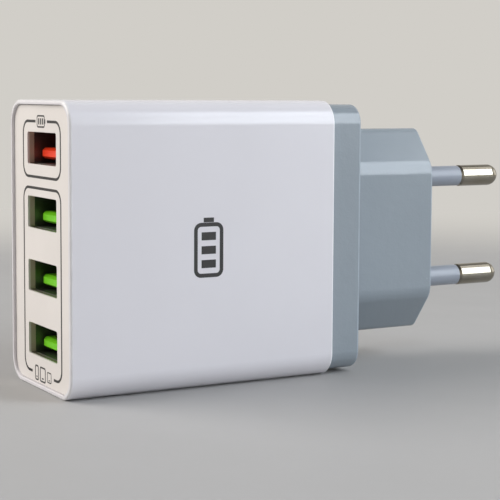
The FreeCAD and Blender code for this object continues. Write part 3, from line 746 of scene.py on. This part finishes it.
def wound_finish(name, base, gap, turns, metallic):
    """Winding: bands of wire or tape one above the other, with painted shade darkening the grooves between
    turns.
    """
    material, tree, shader, coordinates = new_finish(name)
    found = use_group(tree, moulding_marks, {"Vector": coordinates, "Cloud Scale": 220.0})
    sockets = {"Vector": coordinates, "Scale": turns, "Distortion": 0.4, "Detail": 1.0}
    wave = put(tree, "ShaderNodeTexWave", sockets, bands_direction="Z", wave_profile="SIN")
    bands = wave.outputs["Fac"]
    cloudy = combined(tree, "MULTIPLY", found["Cloud"], 0.3)
    fill(tree, shader, {
        # The gap colour is painted shade in the grooves between turns
        "Base Color": blended(tree, cloudy, blended(tree, bands, gap, base), gap),
        "Metallic": metallic,
        "Roughness": noise_spread(tree, found["Grain"], 0.3, 0.45),
        "Normal": raised(tree, bands, strength=0.8, distance=0.1 * MM),
    })
    return material


def dress(names, finish):
    """Finish put on the material slots of CAD nodes."""
    for name in names:
        for slot in NODES[name].material_slots:
            slot.material = finish


# Operators
class CHARGER_OT_sleeve(bpy.types.Operator):
    """Build the white tube with its rounded rim and rear edge"""
    bl_idname = "charger.sleeve"
    bl_label = "White tube"

    def execute(self, context):
        settings = context.scene.charger
        look = settings.finish
        finish = plastic(
            "housing_gloss",
            look.housing,
            look.housing_shade,
            look.dirt,
            roughness=0.2,
            marks={"Cloud Scale": 45.0, "Grain Scale": 1800.0, "Speck Scale": 420.0, "Speck Share": 0.012},
            grain=0.1 * MICRON,
            waves=20 * MICRON,
            edge=look.housing_edge_wear_highlight,
        )
        shell = new_piece("sleeve_shell", finish, *sleeve_surface(settings.sleeve))
        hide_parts("housing_sleeve")
        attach(shell, BODY)
        return {"FINISHED"}


class CHARGER_OT_cap(bpy.types.Operator):
    """Build the grey cap with its flange and six-sided plug boss"""
    bl_idname = "charger.cap"
    bl_label = "Grey cap"

    def execute(self, context):
        settings = context.scene.charger
        look = settings.finish
        scales = {"Cloud Scale": 70.0, "Grain Scale": 2800.0, "Wave Scale": 520.0, "Speck Scale": 600.0}
        finish = plastic(
            "cap_gloss",
            look.cap,
            look.cap_shade,
            look.cap_speck_wear_highlight,
            roughness=0.2,
            marks={**scales, "Speck Share": 0.012},
            grain=16 * MICRON,
            waves=32 * MICRON,
            edge=look.cap_speck_wear_highlight,
        )
        surface = cap_surface(settings.cap, settings.sleeve.corner_round)
        shell = new_piece("cap_shell", finish, *surface)
        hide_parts("rear_cap")
        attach(shell, BODY)
        return {"FINISHED"}


class CHARGER_OT_pins(bpy.types.Operator):
    """Finish the plug pins and their collars"""
    bl_idname = "charger.pins"
    bl_label = "Pins and collars"

    def execute(self, context):
        look = context.scene.charger.finish
        nickel = metal(
            "pin_plating", look.nickel, tone(142, 136, 122), roughness=0.14, lines=1600.0, bump=2 * MICRON
        )
        collar = plastic(
            "collar_satin",
            look.collar,
            tone(147, 153, 164),
            tone(120, 120, 132),
            roughness=0.32,
            marks={"Cloud Scale": 160.0, "Grain Scale": 2600.0, "Speck Scale": 900.0},
            grain=6 * MICRON,
            waves=10 * MICRON,
        )
        dress(["plug_pin_lower", "plug_pin_upper"], nickel)
        dress(["pin_collar_lower", "pin_collar_upper"], collar)
        return {"FINISHED"}


class CHARGER_OT_panel(bpy.types.Operator):
    """Finish the port panel and print the lines round its ports and the signs"""
    bl_idname = "charger.panel"
    bl_label = "Port panel"

    def execute(self, context):
        settings = context.scene.charger
        look, sizes = settings.finish, settings.prints
        finish = plastic(
            "panel_gloss",
            look.panel,
            look.panel_shade,
            look.dirt,
            roughness=0.26,
            marks={"Cloud Scale": 90.0, "Grain Scale": 2200.0},
            grain=0.1 * MICRON,
            waves=10 * MICRON,
            # Painted shade in the port openings
            recess_painted_shade=look.recess_painted_shade,
            ledge_painted_shade=look.ledge_painted_shade,
        )
        dress(["front_panel"], finish)
        ink = ink_finish(look.ink)
        face, head = (PANEL_FACE, 0, 0), (PANEL_FACE, 0, sizes.single_high)
        right, up, down = (0, -1, 0), (0, 0, 1), (0, 0, -1)
        frames = {
            "port_line_single": (sizes.single_break, sizes.single_high, sizes.single_low),
            "port_line_row": (sizes.row_break, sizes.row_low, sizes.row_high),
        }
        for name, heights in frames.items():
            corners = broken_frame(sizes.frame_width, *heights)
            path, normals = open_outline(corners, [sizes.frame_round] * 4, PRINT_STEPS)
            line = ribbon(path, normals, sizes.line_width, sizes.ink_height, False)
            print_piece(name, [line], face, right, up, ink)
        battery = battery_sign((0, 0), sizes.battery_length, sizes.ink_height)
        print_piece("panel_battery_sign", battery, head, down, right, ink)
        tall = sizes.device_height
        devices = []
        for across, width, height in DEVICES:
            centre = (across * tall, sizes.row_low)
            devices += device_sign(centre, width * tall, height * tall, sizes.ink_height)
        print_piece("panel_device_signs", devices, face, right, up, ink)
        badge = battery_sign((0, AXIS_HEIGHT), sizes.side_sign, sizes.ink_height)
        side = (0.5 * (SLEEVE_LOW.x + SLEEVE_HIGH.x), SLEEVE_LOW.y, 0)
        print_piece("side_battery_sign", badge, side, (1, 0, 0), up, ink)
        return {"FINISHED"}


class CHARGER_OT_receptacles(bpy.types.Operator):
    """Finish the shells, tongues and contacts of the ports"""
    bl_idname = "charger.receptacles"
    bl_label = "Receptacles"

    def execute(self, context):
        look = context.scene.charger.finish
        ports = range(1, 5)
        marks = {"Cloud Scale": 260.0, "Grain Scale": 4000.0, "Speck Scale": 1500.0, "Speck Share": 0.02}
        insulators = {
            "tongue_orange": (ports[:1], look.red_tongue, tone(246, 58, 20), tone(150, 50, 30)),
            "tongue_lime": (ports[1:], look.green_tongue, tone(116, 212, 28), tone(70, 120, 30)),
        }
        for name, (numbers, *paints) in insulators.items():
            finish = plastic(name, *paints, roughness=0.35, marks=marks, grain=5 * MICRON, waves=10 * MICRON)
            dress([f"usb_tongue_{port}" for port in numbers], finish)
        tin, gold = (tone(128, 127, 125), tone(104, 102, 99)), (tone(222, 188, 110), tone(196, 158, 84))
        shells = metal("shell_tin", *tin, roughness=0.36, lines=1100.0, bump=4 * MICRON)
        contacts = metal("contact_flash", *gold, roughness=0.22, lines=2200.0, bump=2 * MICRON)
        dress([f"usb_shell_{port}" for port in ports], shells)
        dress([f"usb_contacts_{port}" for port in ports], contacts)
        return {"FINISHED"}


class CHARGER_OT_electronics(bpy.types.Operator):
    """Finish the boards and components inside"""
    bl_idname = "charger.electronics"
    bl_label = "Electronics"

    def execute(self, context):
        pairs = ("lower", "upper")
        chips = ["optocoupler", "bridge_rectifier", "output_rectifier"]
        chips += [f"{use}_controller" for use in ("port", "switching")]
        cores = ["filter_choke_core"] + [f"transformer_core_{end}" for end in pairs]
        cans = [f"{use}_capacitor_{end}" for use in ("output", "bulk") for end in pairs]
        marks = {"Cloud Scale": 300.0, "Grain Scale": 3000.0, "Speck Scale": 1200.0, "Speck Share": 0.03}
        moulded = {
            "package_epoxy": (chips, (38, 38, 40), (30, 30, 32), (80, 80, 82), 0.5),
            "bobbin_resin": (["transformer_bobbin"], (46, 44, 42), (36, 35, 34), (74, 70, 66), 0.42),
            "core_sinter": (cores, (70, 70, 72), (56, 56, 58), (110, 110, 112), 0.62),
            "can_film": (cans, (30, 40, 74), (24, 32, 62), (150, 156, 170), 0.28),
            "fuse_cap": (["inlet_fuse"], (96, 52, 34), (82, 42, 28), (130, 96, 80), 0.38),
            "disc_coat": (["safety_capacitor"], (40, 98, 168), (32, 84, 150), (90, 130, 180), 0.36),
        }
        for name, (nodes, *screens, roughness) in moulded.items():
            paints = [tone(*screen) for screen in screens]
            dress(nodes, plastic(name, *paints, roughness, marks, grain=10 * MICRON, waves=10 * MICRON))
        dress(["usb_board", "main_board"], board_finish())
        # Second colours: painted shade in the grooves between turns
        copper = wound_finish("choke_wire", tone(196, 110, 62), tone(110, 52, 28), turns=420.0, metallic=1.0)
        tape = wound_finish("coil_tape", tone(226, 190, 40), tone(190, 150, 24), turns=120.0, metallic=0.0)
        dress(["filter_choke_winding"], copper)
        dress(["transformer_winding"], tape)
        brass = (tone(206, 180, 120), tone(170, 140, 84))
        wires = metal("wire_brass_tin", *brass, roughness=0.3, lines=1400.0, bump=3 * MICRON)
        dress([f"pin_wire_{end}" for end in pairs], wires)
        return {"FINISHED"}


# Stage
def floor_surface():
    """Round floor: distances from the middle grow with the square of the ring's number, bearings are even."""
    reach = FLOOR_RADIUS * (np.arange(1, FLOOR_RINGS + 1) / FLOOR_RINGS) ** 2
    bearing = np.linspace(0, 2 * np.pi, FLOOR_SPOKES, endpoint=False)
    grid = np.zeros((FLOOR_RINGS, FLOOR_SPOKES, 3))
    grid[..., 0] = reach[:, None] * np.cos(bearing)
    grid[..., 1] = reach[:, None] * np.sin(bearing)
    points = np.concatenate([grid.reshape(-1, 3), np.zeros((1, 3))])
    quads = grid_faces(FLOOR_RINGS, FLOOR_SPOKES, False, True)[:, ::-1]
    return points, quads, fan_faces(FLOOR_RINGS * FLOOR_SPOKES, 0, FLOOR_SPOKES)


def floor_finish(near, far):
    """Pale floor, a little darker near the charger and meeting the sky's colour far away."""
    material, tree, shader, coordinates = new_finish("stage_floor")
    distance = put(tree, "ShaderNodeVectorMath", {0: coordinates}, operation="LENGTH").outputs["Value"]
    away = spread(tree, distance, FLOOR_NEAR, FLOOR_FAR, kind="SMOOTHSTEP")
    mottled = noise(tree, coordinates, scale=60.0, detail=4.0)
    fill(tree, shader, {
        "Base Color": blended(tree, away, near, far),
        "Roughness": noise_spread(tree, mottled, 0.55, 0.65),
        "Specular IOR Level": 0.3,
    })
    glow = put(tree, "ShaderNodeEmission", {"Color": far, "Strength": 1.0})
    share = combined(tree, "MULTIPLY", away, seen_rays(tree))
    mixed = put(tree, "ShaderNodeMixShader", {0: share, 1: shader.outputs[0], 2: glow.outputs[0]})
    fill(tree, tree.nodes["Material Output"], {"Surface": mixed.outputs[0]})
    return material


def set_floor(look):
    """Floor under the charger."""
    floor = new_piece("stage_floor", floor_finish(look.floor, look.backdrop), *floor_surface())


def area_lamp(name, where, aim, up, size, power, tint):
    """Soft lamp at a place, turned towards another, with its height as near to a direction as can be."""
    lamp = bpy.data.lights.new(name, "AREA")
    lamp.shape = "RECTANGLE"
    lamp.size, lamp.size_y = size
    lamp.energy = power
    lamp.color = tint
    back = (where - aim).normalized()
    across = up.cross(back).normalized()
    turn = Matrix((across, back.cross(across), back)).transposed().to_4x4()
    placed(name, lamp).matrix_world = Matrix.Translation(where) @ turn


def set_lamps(stage):
    """Lamps above, beyond the panel and at the pins' end, and a window of two panes for the highlights."""
    middle = Vector((0, 0, AXIS_HEIGHT))
    area_lamp("lamp_above", ABOVE_PLACE, middle, LEVEL, ABOVE_SIZE, stage.above_power, WHITE)
    area_lamp("lamp_panel", PANEL_PLACE, middle, UPRIGHT, PANEL_SIZE, stage.panel_power, WARM)
    powers = {"low": stage.window_low_power, "high": stage.window_high_power}
    for pane, (offset, height) in PANES.items():
        shift = offset * LEANING
        where, aim = WINDOW_PLACE + shift, middle + shift
        area_lamp(f"lamp_window_{pane}", where, aim, LEANING, (WINDOW_WIDTH, height), powers[pane], COOL)
    area_lamp("lamp_side", SIDE_PLACE, middle, UPRIGHT, SIDE_SIZE, stage.side_power, WHITE)


def set_sky(scene, strength, horizon, ceiling):
    """World: pale horizon and dimmer ceiling where it is seen, and even light from all round elsewhere."""
    world = bpy.data.worlds.new("soft_sky")
    world.use_nodes = True
    tree = world.node_tree
    tree.nodes.clear()
    lit = put(tree, "ShaderNodeBackground", {"Color": SKY_TINT, "Strength": strength})
    direction = tree.nodes.new("ShaderNodeTexCoord").outputs["Generated"]
    height = put(tree, "ShaderNodeSeparateXYZ", {"Vector": direction}).outputs["Z"]
    shown = blended(tree, spread(tree, height, SKY_PALE, SKY_DIM), horizon, ceiling)
    seen = put(tree, "ShaderNodeBackground", {"Color": shown, "Strength": 1.0})
    mixed = put(tree, "ShaderNodeMixShader", {0: seen_rays(tree), 1: lit.outputs[0], 2: seen.outputs[0]})
    put(tree, "ShaderNodeOutputWorld", {"Surface": mixed.outputs[0]})
    scene.world = world


def set_camera(scene):
    """Camera at the photo's own angle: it looks along the yaw, down by the pitch, tilted by the roll."""
    ahead = Vector((-math.sin(YAW) * math.cos(PITCH), math.cos(YAW) * math.cos(PITCH), -math.sin(PITCH)))
    level = ahead.cross(UPRIGHT).normalized()
    upright = level.cross(ahead)
    right = level * math.cos(ROLL) + upright * math.sin(ROLL)
    up = upright * math.cos(ROLL) - level * math.sin(ROLL)
    turn = Matrix((right, up, -ahead)).transposed().to_4x4()
    camera = bpy.data.cameras.new("photo_camera")
    camera.sensor_width = SENSOR_WIDTH
    camera.lens = LENS
    camera.shift_x, camera.shift_y = SHIFT_ACROSS, SHIFT_UP
    camera.clip_start = NEAR_CLIP
    holder = placed("photo_camera", camera)
    holder.matrix_world = Matrix.Translation(CAMERA_PLACE) @ turn
    scene.camera = holder


class CHARGER_OT_stage(bpy.types.Operator):
    """Set the floor, the lamps, the sky and the camera"""
    bl_idname = "charger.stage"
    bl_label = "Stage"

    def execute(self, context):
        scene = context.scene
        stage, look = scene.charger.stage, scene.charger.finish
        scene.view_settings.view_transform = "Standard"
        set_floor(look)
        set_lamps(stage)
        set_sky(scene, stage.sky_strength, look.backdrop, look.ceiling)
        set_camera(scene)
        return {"FINISHED"}


# Add-on
OPERATORS = (
    CHARGER_OT_sleeve,
    CHARGER_OT_cap,
    CHARGER_OT_pins,
    CHARGER_OT_panel,
    CHARGER_OT_receptacles,
    CHARGER_OT_electronics,
    CHARGER_OT_stage,
)


class CHARGER_PT_looks(bpy.types.Panel):
    """Lists what builds the charger's looks"""
    bl_idname = "CHARGER_PT_looks"
    bl_label = "Wall charger"
    bl_space_type = "VIEW_3D"
    bl_region_type = "UI"
    bl_category = "Charger"

    def draw(self, context):
        for kind in OPERATORS:
            self.layout.operator(kind.bl_idname)


SETTINGS = (SleeveSizes, CapSizes, PrintSizes, Finishes, StageSettings, ChargerSettings)
CLASSES = (*SETTINGS, *OPERATORS, CHARGER_PT_looks)


def register():
    for kind in CLASSES:
        bpy.utils.register_class(kind)
    bpy.types.Scene.charger = PointerProperty(type=ChargerSettings)


def unregister():
    del bpy.types.Scene.charger
    for kind in reversed(CLASSES):
        bpy.utils.unregister_class(kind)


def main():
    register()
    bpy.ops.charger.sleeve()
    bpy.ops.charger.cap()
    bpy.ops.charger.pins()
    bpy.ops.charger.panel()
    bpy.ops.charger.receptacles()
    bpy.ops.charger.electronics()
    bpy.ops.charger.stage()


if __name__ == "__main__":
    main()
